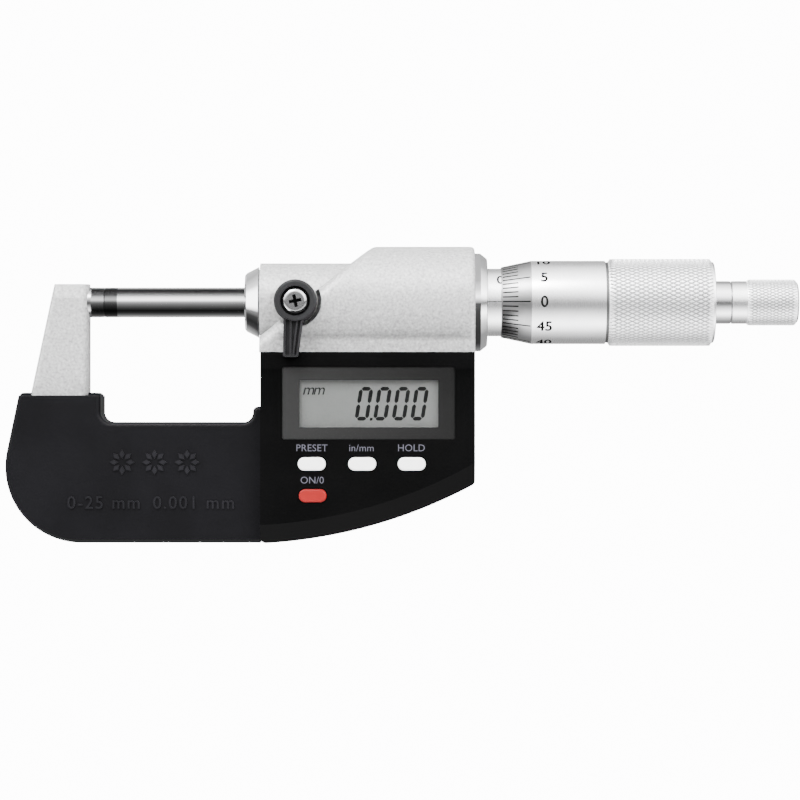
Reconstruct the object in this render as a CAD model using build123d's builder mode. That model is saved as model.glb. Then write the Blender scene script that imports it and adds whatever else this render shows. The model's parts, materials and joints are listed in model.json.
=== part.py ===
from build123d import *
import os
from math import cos, radians, sin, sqrt, tan

# Digital outside micrometer, 0-25 mm, built as an assembly of separate pieces.
#
# The spindle axis is X, and the anvil's measuring face is at the origin. +X runs from
# the anvil to the ratchet, +Z is up, and the display looks towards -Y. The tool is shut,
# with its spindle against the anvil. Everything is in millimetres.

os.makedirs("parts", exist_ok=True)

# ---- Driving dimensions -------------------------------------------------------------

# The screw: its travel and the fits around the spindle
TRAVEL = 25.0
SPINDLE_R = 3.25
BORE_R = 3.30
TIP_LENGTH = 2.8

# Frame: a flat arm and bow, then the round hub that carries the screw
ARM_HALF = 4.3
ARM_TOP = 3.9
ARM_FACE = -3.3
ARM_LEFT = -10.75
ARM_SLOPE = tan(radians(12))
ARM_EDGE = 1.2
ARM_INNER_EDGE = 2.4
ARM_CROWN = 3.0
ARM_CROWN_DEPTH = 0.6
BOW_FLOOR = -28.2
BOW_BOTTOM = -49.8
BOW_CORNER = 14.2
BOW_END = 36.0
NOSE_R = 8.5
HUB_R = 12.1
HUB_START = 33.8
HUB_END = 80.3
PLATE_HALF = 9.2
PLATE_BOTTOM = -10.9
WEB_HALF = 4.0

# The hub's step is one flat cut that leans back from the nose to the top of the hub
STEP_TOP = (58.3, 12.1)
STEP_SLOPE = 0.80
STEP_REACH = 30.0

# Insulating shells over the bow
SHELL_HALF = 7.0
SHELL_TOP = -20.2
SHELL_LIP = 0.6
SHELL_BOTTOM = -52.0
SHELL_CORNER = 16.4
SHELL_RIGHT = 34.0
SHELL_WALL = 2.2
SHELL_ROUND = 1.1
SHELL_INNER = 2.2
SHELL_EDGE = 0.9
SHELL_STEP_X = 32.4
SHELL_STEP_RISE = 5.6
SHELL_FOOT = 2.8
SHELL_SCREW_R = 1.1
SHELL_HEAD_R = 2.0

# Electronics housing
CASE_LEFT = 34.15
CASE_RIGHT = 80.2
CASE_TOP = PLATE_BOTTOM
CASE_FRONT = -12.0
CASE_BACK = 11.5
CASE_WALL = 1.8
CASE_LOW_LEFT = (CASE_LEFT, -52.0)
CASE_LOW_RIGHT = (CASE_RIGHT, -39.2)
CASE_SWEEP_R = 107.0
CASE_BEVEL = 4.0
BEVEL_DEPTH = 1.5
CASE_SCREWS = [(37.6, -14.3), (76.7, -14.3), (76.7, -35.6), (38.4, -46.4)]
SHELL_SCREWS = [(-9.5, -41.5), (12.0, -39.0), (29.0, -44.5)]

# Display and board, front to back
WINDOW = (38.8, 75.9, -29.7, -14.1)
WINDOW_THICK = 1.0
LCD = (41.2, 73.6, -28.5, -15.5)
LCD_FRONT = -10.85
LCD_BACK = -9.1
BOARD_FRONT = -7.3
BOARD_BACK = -6.3

# Buttons: a row of three white ones with a red one below the first
BUTTON_LENGTH = 5.95
BUTTON_WIDTH = 2.8
BUTTON_FIT = 0.07
BUTTON_PROUD = 0.5
BUTTONS = {
    "preset_button": (45.2, -34.9),
    "unit_button": (56.0, -34.9),
    "hold_button": (66.6, -34.9),
    "power_button": (45.4, -41.7),
}

# Button cell, lying flat behind the board
CELL_AT = (57.0, -30.0)
CELL_R = 5.8
CELL_FRONT = 4.2
CELL_BACK = 9.6
CAP_R = 8.0
CAP_FRONT = 10.0
CAP_BACK = 11.6

# Spindle lock, on an axis along Y
LOCK_X = 41.7
LOCK_SEAT = -8.3
LOCK_POCKET_R = 5.6
LEVER_R = 4.6
LEVER_FRONT = -15.0
LEVER_BACK = -8.6
LEVER_TIP = -12.0
LEVER_SINK = -13.2
LEVER_ARM_BACK = -12.5
LEVER_ARM_FRONT = -14.7
LEVER_RIB_FRONT = -14.55
LEVER_GROOVE = -13.7
LEVER_RIM = 0.45
POCKET_FLOOR = -5.0
SCREW_HEAD_R = 2.85
SCREW_CROWN = -15.0
SCREW_ROUND = 1.0
SCREW_RECESS = -13.5
LEVER_SWING = 60.0
STUD_R = 2.0
STOP_PIN_R = 0.6
STOP_PIN_RADIUS = 4.0
STOP_PIN_ANGLE = 52.0
STOP_PIN_ROOM = 10.6
STOP_PIN_AT = (
    LOCK_X + STOP_PIN_RADIUS * cos(radians(STOP_PIN_ANGLE)),
    STOP_PIN_RADIUS * sin(radians(STOP_PIN_ANGLE)),
)

# Encoder room inside the hub
ROOM_R = 10.4
ROOM_START = 58.5
STATOR_END = 59.9
ROTOR_START = 60.6
BUSH_END = 70.0
SPIGOT_START = 76.0

# Sleeve and thimble
FLANGE_R = 10.65
FLANGE_RIM_END = 81.5
FLANGE_END = 83.0
SLEEVE_R = 7.35
SLEEVE_END = 112.0
INNER_R = 6.4
INNER_END = 118.0
THIMBLE_START = 86.0
THIMBLE_BORE = 7.41
THIMBLE_EDGE = 7.65
BEVEL_END = 92.5
THIMBLE_R = 9.05
COLLAR_START = 108.6
COLLAR_R = 8.75
GRIP_START = 109.2
GRIP_R = 9.45
GRIP_END = 131.7
THIMBLE_END = 132.2
RIM_R = 8.8

# Ratchet stop
NECK_R = 4.65
NECK_END = 135.85
KNOB_START = 136.0
KNOB_GRIP = 139.2
KNOB_R = 5.0
KNOB_END = 150.5
STEM_R = 1.6


# ---- Helpers that add to, or cut from, the part that is being built ------------------

def front_plane(y):
    """The upright plane at depth y: sketch x is +X, sketch y is +Z, and it faces -Y."""
    return Plane.XZ.offset(-y)


def turn(points, mode=Mode.ADD):
    """Turn a closed outline of (x, radius) points about the spindle axis."""
    with BuildSketch(Plane.XY) as profile:
        with BuildLine():
            Polyline(*points, close=True)
        make_face()
    revolve(profile.sketch, axis=Axis.X, mode=mode)


def tube(x_start, x_end, outer, inner=0.0, mode=Mode.ADD):
    """A plain ring or rod about the spindle axis."""
    turn([(x_start, inner), (x_end, inner), (x_end, outer), (x_start, outer)], mode)


def post(at, radius, y_back, y_front, mode=Mode.ADD):
    """A round post or hole along Y, between two depths."""
    with BuildSketch(front_plane(y_back)) as profile:
        with Locations(at):
            Circle(radius)
    extrude(profile.sketch, amount=y_back - y_front, mode=mode)


def block(x_range, z_range, y_back, y_front, mode=Mode.ADD, corner=0.0):
    """An upright block or pocket along Y, with rounded corners if asked."""
    wide = x_range[1] - x_range[0]
    tall = z_range[1] - z_range[0]
    with BuildSketch(front_plane(y_back)) as profile:
        with Locations(((x_range[0] + x_range[1]) / 2, (z_range[0] + z_range[1]) / 2)):
            if corner:
                RectangleRounded(wide, tall, corner)
            else:
                Rectangle(wide, tall)
    extrude(profile.sketch, amount=y_back - y_front, mode=mode)


def slot(at, length, width, y_back, y_front, mode=Mode.ADD):
    """A stadium-shaped post or hole along Y."""
    with BuildSketch(front_plane(y_back)) as profile:
        with Locations(at):
            SlotOverall(length, width)
    extrude(profile.sketch, amount=y_back - y_front, mode=mode)


def spring(x_start, x_end, radius, wire, turns):
    """A coil spring about the spindle axis, between two faces."""
    length = x_end - x_start - 2 * wire
    with BuildLine() as path:
        Helix(length / turns, length, radius, center=(x_start + wire, 0, 0), direction=(1, 0, 0))
    with BuildSketch(Plane(path.line @ 0, z_dir=path.line % 0)) as section:
        Circle(wire)
    sweep(section.sketch, path=path.line, is_frenet=True)


def free_edges(edges):
    """The edges of a shell's flat face, without the one that meets the housing."""
    return edges.filter_by(lambda e: e.center().X < SHELL_RIGHT - 0.01)


def arm_left(z):
    """Where the frame's sloping left edge is at height z."""
    return ARM_LEFT + (z - ARM_TOP) * ARM_SLOPE


def sweep_centre():
    """The centre of the housing's swept bottom edge, from its two ends and its radius."""
    chord = Vector(*CASE_LOW_RIGHT) - Vector(*CASE_LOW_LEFT)
    middle = (Vector(*CASE_LOW_RIGHT) + Vector(*CASE_LOW_LEFT)) / 2
    rise = sqrt(CASE_SWEEP_R**2 - (chord.length / 2) ** 2)
    centre = middle + Vector(-chord.Y, chord.X) * (rise / chord.length)
    return (centre.X, 0, centre.Y)


SWEEP_CENTRE = sweep_centre()


# ---- Outlines shared by several pieces ------------------------------------------------

with BuildSketch(front_plane(0)) as bow_profile:
    with BuildLine():
        Polyline(
            (ARM_LEFT, ARM_TOP),
            (ARM_FACE, ARM_TOP),
            (ARM_FACE, BOW_FLOOR),
            (BOW_END, BOW_FLOOR),
            (BOW_END, BOW_BOTTOM),
            (arm_left(BOW_BOTTOM), BOW_BOTTOM),
            close=True,
        )
    make_face()
    fillet(bow_profile.vertices().sort_by(Axis.X)[0], BOW_CORNER)
    fillet(bow_profile.vertices().sort_by_distance((ARM_FACE, BOW_FLOOR))[0], 5.0)

with BuildSketch(front_plane(0)) as case_profile:
    with BuildLine():
        Polyline(CASE_LOW_LEFT, (CASE_LEFT, CASE_TOP), (CASE_RIGHT, CASE_TOP), CASE_LOW_RIGHT)
        RadiusArc(CASE_LOW_LEFT, CASE_LOW_RIGHT, -CASE_SWEEP_R)
    make_face()
    fillet(case_profile.vertices().group_by(Axis.Y)[0], 1.2)
    fillet(case_profile.vertices().sort_by_distance(CASE_LOW_RIGHT)[0], 1.2)

with BuildSketch(front_plane(0)) as case_inner_profile:
    add(case_profile.sketch)
    offset(amount=-CASE_WALL, kind=Kind.INTERSECTION)

with BuildSketch(front_plane(0)) as shell_profile:
    with BuildLine():
        Polyline(
            (arm_left(SHELL_TOP) - SHELL_WALL, SHELL_TOP + SHELL_LIP),
            (ARM_FACE + SHELL_FOOT, SHELL_TOP + SHELL_LIP),
            (ARM_FACE + SHELL_FOOT, BOW_FLOOR + SHELL_WALL),
            (SHELL_STEP_X, BOW_FLOOR + SHELL_WALL),
            (SHELL_STEP_X, BOW_FLOOR + SHELL_STEP_RISE),
            (SHELL_RIGHT, BOW_FLOOR + SHELL_STEP_RISE),
            (SHELL_RIGHT, SHELL_BOTTOM),
            (arm_left(SHELL_BOTTOM) - SHELL_WALL, SHELL_BOTTOM),
            close=True,
        )
    make_face()
    fillet(shell_profile.vertices().sort_by(Axis.X)[0], SHELL_CORNER)
    for hollow in ((ARM_FACE + SHELL_FOOT, BOW_FLOOR + SHELL_WALL), (SHELL_STEP_X, BOW_FLOOR + SHELL_WALL)):
        fillet(shell_profile.vertices().sort_by_distance(hollow)[0], SHELL_INNER)
    for outward in (
        (SHELL_STEP_X, BOW_FLOOR + SHELL_STEP_RISE),
        (ARM_FACE + SHELL_FOOT, SHELL_TOP),
        (arm_left(SHELL_TOP) - SHELL_WALL, SHELL_TOP),
    ):
        fillet(shell_profile.vertices().sort_by_distance(outward)[0], SHELL_ROUND)

# everything above and to the left of the hub's step
with BuildSketch(front_plane(20)) as step_profile:
    with BuildLine():
        Polyline(
            (STEP_TOP[0] + 6, STEP_TOP[1] + 6 * STEP_SLOPE),
            (STEP_TOP[0] - STEP_REACH, STEP_TOP[1] - STEP_REACH * STEP_SLOPE),
            (STEP_TOP[0] - STEP_REACH, 20),
            (STEP_TOP[0] + 6, 20),
            close=True,
        )
    make_face()


# ---- Frame: one casting, machined for the screw, the lock and the encoder --------------

with BuildPart() as frame:
    # the thick half of the hub and the plate under it
    tube(HUB_START, HUB_END, HUB_R)
    block((HUB_START, HUB_END), (PLATE_BOTTOM, 0), PLATE_HALF, -PLATE_HALF)
    fillet(frame.edges().filter_by(Axis.X).filter_by(lambda e: -9 < e.center().Z < -5), 1.6)
    hub_rim = frame.edges().group_by(Axis.X)[-1].filter_by(lambda e: e.center().Z > PLATE_BOTTOM + 0.5)
    fillet(hub_rim, 0.9)
    # the sloping step down to the nose
    extrude(step_profile.sketch, amount=40, mode=Mode.SUBTRACT)
    block((HUB_START - 1, HUB_END + 1), (PLATE_BOTTOM - 4, PLATE_BOTTOM), HUB_R, -HUB_R, mode=Mode.SUBTRACT)
    fillet(frame.edges().sort_by_distance((STEP_TOP[0], 0, STEP_TOP[1]))[0], 2.5)
    tube(HUB_START, STEP_TOP[0] + 1, NOSE_R)
    # arm, bow and the web behind the display
    extrude(bow_profile.sketch, amount=ARM_HALF, both=True)
    # the arm's top leans back on both faces, and its inner edges are rounded more
    with BuildSketch(Plane.YZ.offset(ARM_LEFT - 1)) as crown:
        for side in (1, -1):
            with BuildLine():
                Polyline(
                    (side * (ARM_HALF + 0.01), ARM_TOP - ARM_CROWN),
                    (side * (ARM_HALF - ARM_CROWN_DEPTH), ARM_TOP + 0.01),
                    (side * (ARM_HALF + 0.01), ARM_TOP + 0.01),
                    close=True,
                )
            make_face()
    extrude(crown.sketch, amount=ARM_FACE - ARM_LEFT + 2, mode=Mode.SUBTRACT)
    arm_edges = frame.edges().filter_by(lambda e: e.center().X < ARM_FACE + 0.1)
    upright = arm_edges.filter_by(
        lambda e: abs(e.center().Y) > ARM_HALF - 1 and e.center().X > ARM_FACE - 0.1
    )
    fillet(upright, ARM_INNER_EDGE)
    sloped = frame.edges().filter_by(lambda e: e.center().X < arm_left(e.center().Z) + 0.2)
    fillet(sloped.filter_by(lambda e: abs(e.center().Y) > ARM_HALF - 1), ARM_EDGE)
    with BuildSketch(front_plane(WEB_HALF)) as web:
        add(case_inner_profile.sketch)
        with Locations(((BOW_END + HUB_END - CASE_WALL) / 2, PLATE_BOTTOM - 1)):
            Rectangle(HUB_END - CASE_WALL - BOW_END, 4)
    extrude(web.sketch, amount=2 * WEB_HALF)
    # bores: anvil seat, spindle, nose bush, encoder room
    tube(-9.0, 0, SPINDLE_R, mode=Mode.SUBTRACT)
    tube(HUB_START - 1, ROOM_START, BORE_R, mode=Mode.SUBTRACT)
    tube(HUB_START - 1, HUB_START + 4, 5.0, mode=Mode.SUBTRACT)
    tube(ROOM_START, HUB_END + 1, ROOM_R, mode=Mode.SUBTRACT)
    # seat and stud hole of the lock, and the hole of its stop pin
    post((LOCK_X, 0), LOCK_POCKET_R, LOCK_SEAT, LOCK_SEAT - 8, mode=Mode.SUBTRACT)
    with BuildSketch(front_plane(POCKET_FLOOR)) as undercut:
        with Locations((LOCK_X, 0)):
            Circle(LOCK_POCKET_R)
            Circle(LEVER_R + 0.1, mode=Mode.SUBTRACT)
        add(step_profile.sketch, mode=Mode.SUBTRACT)
        with Locations((LOCK_X - LOCK_POCKET_R, 0)):
            Rectangle(2 * LOCK_POCKET_R, 3 * LOCK_POCKET_R, mode=Mode.SUBTRACT)
    extrude(undercut.sketch, amount=POCKET_FLOOR - LOCK_SEAT + 1, mode=Mode.SUBTRACT)
    post((LOCK_X, 0), STUD_R + 0.05, -1, LOCK_SEAT, mode=Mode.SUBTRACT)
    post(STOP_PIN_AT, STOP_PIN_R, LOCK_SEAT + 2.5, LOCK_SEAT, mode=Mode.SUBTRACT)
    # slots for the sensor lead and for the cell's two contacts
    block((59.6, 60.4), (-12.5, -7.5), -4.0, -6.7, mode=Mode.SUBTRACT)
    block((56.6, 57.4), (-31.2, -28.8), WEB_HALF, -WEB_HALF, mode=Mode.SUBTRACT)
    block((62.5, 63.3), (-31.8, -28.2), WEB_HALF, -WEB_HALF, mode=Mode.SUBTRACT)
    for at in CASE_SCREWS:
        post(at, 0.9, WEB_HALF, -WEB_HALF, mode=Mode.SUBTRACT)
    for at in SHELL_SCREWS:
        post(at, SHELL_SCREW_R, ARM_HALF, -ARM_HALF, mode=Mode.SUBTRACT)
frame.part.label = "frame"
export_step(frame.part, "parts/frame.step")

with BuildPart() as anvil:
    tube(-9.0, ARM_FACE - 0.4, SPINDLE_R)
anvil.part.label = "anvil"
export_step(anvil.part, "parts/anvil.step")

with BuildPart() as anvil_tip:
    tube(ARM_FACE - 0.4, 0, SPINDLE_R)
    chamfer(anvil_tip.edges().group_by(Axis.X)[-1], 0.12)
anvil_tip.part.label = "anvil_tip"
export_step(anvil_tip.part, "parts/anvil_tip.step")

with BuildPart() as nose_bush:
    turn([
        (30.5, BORE_R), (HUB_START + 4, BORE_R), (HUB_START + 4, 5.0), (HUB_START, 5.0),
        (HUB_START, 6.9), (HUB_START - 0.35, 7.2), (HUB_START - 0.35, 7.7), (30.9, 6.4), (30.5, 5.9),
    ])
nose_bush.part.label = "nose_bush"
export_step(nose_bush.part, "parts/nose_bush.step")


# ---- Barrel: flange, graduated sleeve, threaded inner sleeve and its adjusting nut -------

with BuildPart() as rear_flange:
    tube(SPIGOT_START, HUB_END + 0.1, ROOM_R, INNER_R)
    turn([
        (HUB_END + 0.1, SLEEVE_R), (FLANGE_END, SLEEVE_R), (FLANGE_END, FLANGE_R - 1.2),
        (FLANGE_RIM_END, FLANGE_R), (HUB_END + 0.1, FLANGE_R),
    ])
    fillet(rear_flange.edges().group_by(Axis.X)[-1].sort_by(SortBy.LENGTH)[-1], 0.5)
rear_flange.part.label = "rear_flange"
export_step(rear_flange.part, "parts/rear_flange.step")

with BuildPart() as sleeve:
    tube(HUB_END + 0.1, SLEEVE_END, SLEEVE_R, INNER_R)
    chamfer(sleeve.edges().group_by(Axis.X)[-1].sort_by(SortBy.LENGTH)[-1], 0.4)
sleeve.part.label = "sleeve"
export_step(sleeve.part, "parts/sleeve.step")

with BuildPart() as inner_sleeve:
    tube(SPIGOT_START, INNER_END, INNER_R, BORE_R)
    tube(SLEEVE_END + 0.2, INNER_END, INNER_R, 6.0, mode=Mode.SUBTRACT)
    # three slits let the adjusting nut close the thread
    with BuildSketch(Plane.YZ.offset(INNER_END - 9)) as slits:
        with PolarLocations(0, 3):
            with Locations((5, 0)):
                Rectangle(6, 0.5)
    extrude(slits.sketch, amount=10, mode=Mode.SUBTRACT)
inner_sleeve.part.label = "inner_sleeve"
export_step(inner_sleeve.part, "parts/inner_sleeve.step")

with BuildPart() as adjusting_nut:
    tube(SLEEVE_END + 0.2, INNER_END - 0.8, 7.2, 6.0)
    with BuildSketch(Plane.YZ.offset(SLEEVE_END)) as notches:
        with PolarLocations(7.2, 4):
            Rectangle(1.0, 1.2)
    extrude(notches.sketch, amount=8, mode=Mode.SUBTRACT)
adjusting_nut.part.label = "adjusting_nut"
export_step(adjusting_nut.part, "parts/adjusting_nut.step")


# ---- Spindle and thimble --------------------------------------------------------------

with BuildPart() as spindle:
    turn([
        (TIP_LENGTH, 0), (131.5, 0), (131.5, 3.0), (123.0, 4.0), (122.6, 4.0), (122.2, SPINDLE_R),
        (TIP_LENGTH, SPINDLE_R),
    ])
    # keyway for the encoder's key, as long as the travel and the key together
    block((38.4, 70.0), (2.2, 4.0), 0.65, -0.65, mode=Mode.SUBTRACT)
    tube(122.6, 131.5, 1.5, mode=Mode.SUBTRACT)
spindle.part.label = "spindle"
export_step(spindle.part, "parts/spindle.step")

with BuildPart() as spindle_tip:
    tube(0, TIP_LENGTH, SPINDLE_R)
    chamfer(spindle_tip.edges().group_by(Axis.X)[0], 0.12)
spindle_tip.part.label = "spindle_tip"
export_step(spindle_tip.part, "parts/spindle_tip.step")

with BuildPart() as thimble:
    turn([
        (THIMBLE_START, THIMBLE_BORE), (94.0, THIMBLE_BORE), (95.0, 8.0), (126.0, 8.0),
        (127.0, 3.53), (131.5, 3.0), (THIMBLE_END, 3.0), (THIMBLE_END, RIM_R - 0.3),
        (THIMBLE_END - 0.3, RIM_R), (GRIP_END, RIM_R), (GRIP_END, COLLAR_R),
        (COLLAR_START, COLLAR_R), (COLLAR_START, THIMBLE_R), (BEVEL_END, THIMBLE_R),
        (THIMBLE_START, THIMBLE_EDGE),
    ])
thimble.part.label = "thimble"
export_step(thimble.part, "parts/thimble.step")

with BuildPart() as thimble_grip:
    tube(GRIP_START, GRIP_END, GRIP_R, COLLAR_R)
    chamfer(thimble_grip.edges().group_by(Axis.X)[0].sort_by(SortBy.LENGTH)[-1], 0.2)
    chamfer(thimble_grip.edges().group_by(Axis.X)[-1].sort_by(SortBy.LENGTH)[-1], 0.5)
thimble_grip.part.label = "thimble_grip"
export_step(thimble_grip.part, "parts/thimble_grip.step")


# ---- Ratchet stop -----------------------------------------------------------------------

with BuildPart() as ratchet_shaft:
    tube(THIMBLE_END, NECK_END, NECK_R)
    tube(131.5, THIMBLE_END, 3.0)
    tube(123.0, 131.5, 1.5)
    tube(NECK_END, 147.6, STEM_R)
    chamfer(ratchet_shaft.edges().filter_by(lambda e: abs(e.length - 6.28 * NECK_R) < 1), 0.15)
    tube(141.5, 147.6, 0.8, mode=Mode.SUBTRACT)
    # face teeth that slip against those of the ratchet disc
    with BuildSketch(Plane.YZ.offset(NECK_END)) as shaft_teeth:
        with PolarLocations(2.75, 12):
            Rectangle(1.1, 0.55)
    extrude(shaft_teeth.sketch, amount=0.5)
ratchet_shaft.part.label = "ratchet_shaft"
export_step(ratchet_shaft.part, "parts/ratchet_shaft.step")

with BuildPart() as ratchet_disc:
    tube(137.1, 138.6, 3.6, STEM_R + 0.05)
    with BuildSketch(Plane.YZ.offset(136.6)) as disc_teeth:
        with PolarLocations(2.75, 12, start_angle=15):
            Rectangle(1.1, 0.55)
    extrude(disc_teeth.sketch, amount=0.5)
ratchet_disc.part.label = "ratchet_disc"
export_step(ratchet_disc.part, "parts/ratchet_disc.step")

with BuildPart() as ratchet_spring:
    spring(138.6, 145.5, 2.6, 0.28, 5)
ratchet_spring.part.label = "ratchet_spring"
export_step(ratchet_spring.part, "parts/ratchet_spring.step")

with BuildPart() as ratchet_knob:
    turn([
        (KNOB_START, 3.6), (145.5, 3.6), (145.5, STEM_R + 0.05), (147.5, STEM_R + 0.05),
        (147.5, 2.8), (KNOB_END, 2.8), (KNOB_END, KNOB_R - 0.9), (KNOB_END - 0.3, KNOB_R - 0.35),
        (KNOB_END - 0.9, KNOB_R), (KNOB_GRIP + 0.3, KNOB_R), (KNOB_GRIP, NECK_R),
        (KNOB_START + 0.15, NECK_R), (KNOB_START, NECK_R - 0.15),
    ])
ratchet_knob.part.label = "ratchet_knob"
export_step(ratchet_knob.part, "parts/ratchet_knob.step")

with BuildPart() as ratchet_screw:
    tube(147.6, 149.3, 2.6)
    chamfer(ratchet_screw.edges().group_by(Axis.X)[-1], 0.25)
    tube(141.5, 147.6, 0.8)
    block((148.6, 150), (-3, 3), 0.35, -0.35, mode=Mode.SUBTRACT)
ratchet_screw.part.label = "ratchet_screw"
export_step(ratchet_screw.part, "parts/ratchet_screw.step")


# ---- Encoder: fixed disc, turning disc, keyed bush ------------------------------------------

with BuildPart() as stator_disc:
    tube(ROOM_START, STATOR_END, ROOM_R, 5.6)
stator_disc.part.label = "stator_disc"
export_step(stator_disc.part, "parts/stator_disc.step")

with BuildPart() as thrust_washer:
    tube(ROOM_START, ROTOR_START - 0.2, 5.4, BORE_R + 0.2)
thrust_washer.part.label = "thrust_washer"
export_step(thrust_washer.part, "parts/thrust_washer.step")

with BuildPart() as rotor_disc:
    tube(ROTOR_START, ROTOR_START + 1.0, 10.0, 4.8)
rotor_disc.part.label = "rotor_disc"
export_step(rotor_disc.part, "parts/rotor_disc.step")

with BuildPart() as rotor_bush:
    tube(ROTOR_START - 0.15, BUSH_END, 4.8, BORE_R)
    tube(ROTOR_START + 1.0, ROTOR_START + 2.4, 6.6, 4.8)
    block((64.0, 69.0), (2.4, 5.2), 0.6, -0.6, mode=Mode.SUBTRACT)
rotor_bush.part.label = "rotor_bush"
export_step(rotor_bush.part, "parts/rotor_bush.step")

with BuildPart() as drive_key:
    block((64.0, 69.0), (2.3, 4.6), 0.6, -0.6)
drive_key.part.label = "drive_key"
export_step(drive_key.part, "parts/drive_key.step")

with BuildPart() as rotor_spring:
    spring(63.2, SPIGOT_START, 5.9, 0.35, 6)
rotor_spring.part.label = "rotor_spring"
export_step(rotor_spring.part, "parts/rotor_spring.step")

with BuildPart() as sensor_lead:
    block((STATOR_END, STATOR_END + 0.2), (-17.0, -6.5), -4.3, BOARD_BACK)
sensor_lead.part.label = "sensor_lead"
export_step(sensor_lead.part, "parts/sensor_lead.step")


# ---- Spindle lock -------------------------------------------------------------------------

with BuildPart() as lock_lever:
    post((LOCK_X, 0), LEVER_R, LEVER_BACK, LEVER_FRONT)
    fillet(lock_lever.edges().group_by(Axis.Y)[0], 0.6)
    # tapered arm with a raised rim and two thin ribs that meet at the tip
    with BuildSketch(front_plane(LEVER_ARM_BACK)) as arm:
        with BuildLine():
            Polyline((39.25, -2), (43.7, -2), (42.35, LEVER_TIP), (39.1, LEVER_TIP), close=True)
        make_face()
        fillet(arm.vertices().group_by(Axis.Y)[0], 0.5)
    extrude(arm.sketch, amount=LEVER_ARM_BACK - LEVER_ARM_FRONT)
    with BuildSketch(front_plane(LEVER_GROOVE)) as arm_groove:
        offset(arm.sketch, amount=-LEVER_RIM, kind=Kind.INTERSECTION)
        with Locations((LOCK_X, 0)):
            Circle(LEVER_R - 0.3, mode=Mode.SUBTRACT)
    extrude(arm_groove.sketch, amount=2, mode=Mode.SUBTRACT)
    with BuildSketch(front_plane(LEVER_GROOVE + 0.1)) as arm_ribs:
        for top, bottom in ((40.55, 40.5), (42.0, 41.05)):
            with BuildLine():
                Polyline(
                    (top, -4.0), (top + 0.36, -4.0), (bottom + 0.42, LEVER_TIP + 0.3),
                    (bottom, LEVER_TIP + 0.3), close=True,
                )
            make_face()
    extrude(arm_ribs.sketch, amount=LEVER_GROOVE + 0.1 - LEVER_RIB_FRONT)
    post((LOCK_X, 0), STUD_R, LEVER_BACK, LEVER_SINK, mode=Mode.SUBTRACT)
    post((LOCK_X, 0), SCREW_HEAD_R + 0.35, LEVER_SINK, LEVER_FRONT, mode=Mode.SUBTRACT)
    # arc slot on the back for the stop pin: the swing plus the pin
    with BuildSketch(front_plane(LEVER_BACK)) as stop_slot:
        with BuildLine():
            start = STOP_PIN_ANGLE - LEVER_SWING - STOP_PIN_ROOM
            sweep_angle = LEVER_SWING + 2 * STOP_PIN_ROOM
            outer_arc = CenterArc((LOCK_X, 0), STOP_PIN_RADIUS + 0.7, start, sweep_angle)
            inner_arc = CenterArc((LOCK_X, 0), STOP_PIN_RADIUS - 0.8, start, sweep_angle)
            Line(outer_arc @ 0, inner_arc @ 0)
            Line(outer_arc @ 1, inner_arc @ 1)
        make_face()
    extrude(stop_slot.sketch, amount=1.8, mode=Mode.SUBTRACT)
lock_lever.part.label = "lock_lever"
export_step(lock_lever.part, "parts/lock_lever.step")

with BuildPart() as lock_stud:
    post((LOCK_X, 0), STUD_R, -3.8, LEVER_SINK)
    post((LOCK_X, 0), 0.9, -9.5, LEVER_SINK, mode=Mode.SUBTRACT)
lock_stud.part.label = "lock_stud"
export_step(lock_stud.part, "parts/lock_stud.step")

with BuildPart() as brake_pad:
    post((LOCK_X, 0), STUD_R - 0.1, -3.38, -3.8)
brake_pad.part.label = "brake_pad"
export_step(brake_pad.part, "parts/brake_pad.step")

with BuildPart() as lock_screw:
    # rounded head with a cross recess
    post((LOCK_X, 0), SCREW_HEAD_R, LEVER_SINK, SCREW_CROWN)
    fillet(lock_screw.edges().group_by(Axis.Y)[0], SCREW_ROUND)
    post((LOCK_X, 0), 0.9, -9.5, LEVER_SINK)
    with BuildSketch(front_plane(SCREW_RECESS)) as cross:
        with Locations((LOCK_X, 0)):
            Rectangle(2.7, 0.72, rotation=12)
            Rectangle(0.72, 2.7, rotation=12)
    extrude(cross.sketch, amount=SCREW_RECESS - SCREW_CROWN + 1, mode=Mode.SUBTRACT)
lock_screw.part.label = "lock_screw"
export_step(lock_screw.part, "parts/lock_screw.step")

with BuildPart() as stop_pin:
    post(STOP_PIN_AT, STOP_PIN_R, LOCK_SEAT + 2.5, LEVER_BACK - 1.5)
stop_pin.part.label = "stop_pin"
export_step(stop_pin.part, "parts/stop_pin.step")


# ---- Insulating shells over the bow -----------------------------------------------------------

with BuildPart() as shell_front:
    extrude(shell_profile.sketch, amount=SHELL_HALF)
    fillet(free_edges(shell_front.edges().group_by(Axis.Y)[0]), SHELL_EDGE)
    block((-20, 0), (SHELL_TOP, SHELL_TOP + 2), -ARM_HALF, -SHELL_HALF - 1, mode=Mode.SUBTRACT)
    extrude(bow_profile.sketch, amount=ARM_HALF, mode=Mode.SUBTRACT)
    for at in SHELL_SCREWS:
        post(at, SHELL_SCREW_R, 0, -5.8, mode=Mode.SUBTRACT)
shell_front.part.label = "shell_front"
export_step(shell_front.part, "parts/shell_front.step")

with BuildPart() as shell_rear:
    extrude(shell_profile.sketch, amount=-SHELL_HALF)
    fillet(free_edges(shell_rear.edges().group_by(Axis.Y)[-1]), SHELL_EDGE)
    block((-20, 0), (SHELL_TOP, SHELL_TOP + 2), SHELL_HALF + 1, ARM_HALF, mode=Mode.SUBTRACT)
    extrude(bow_profile.sketch, amount=-ARM_HALF, mode=Mode.SUBTRACT)
    for at in SHELL_SCREWS:
        post(at, SHELL_SCREW_R, SHELL_HALF, 0, mode=Mode.SUBTRACT)
        post(at, SHELL_HEAD_R + 0.1, SHELL_HALF, 5.3, mode=Mode.SUBTRACT)
shell_rear.part.label = "shell_rear"
export_step(shell_rear.part, "parts/shell_rear.step")

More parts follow.
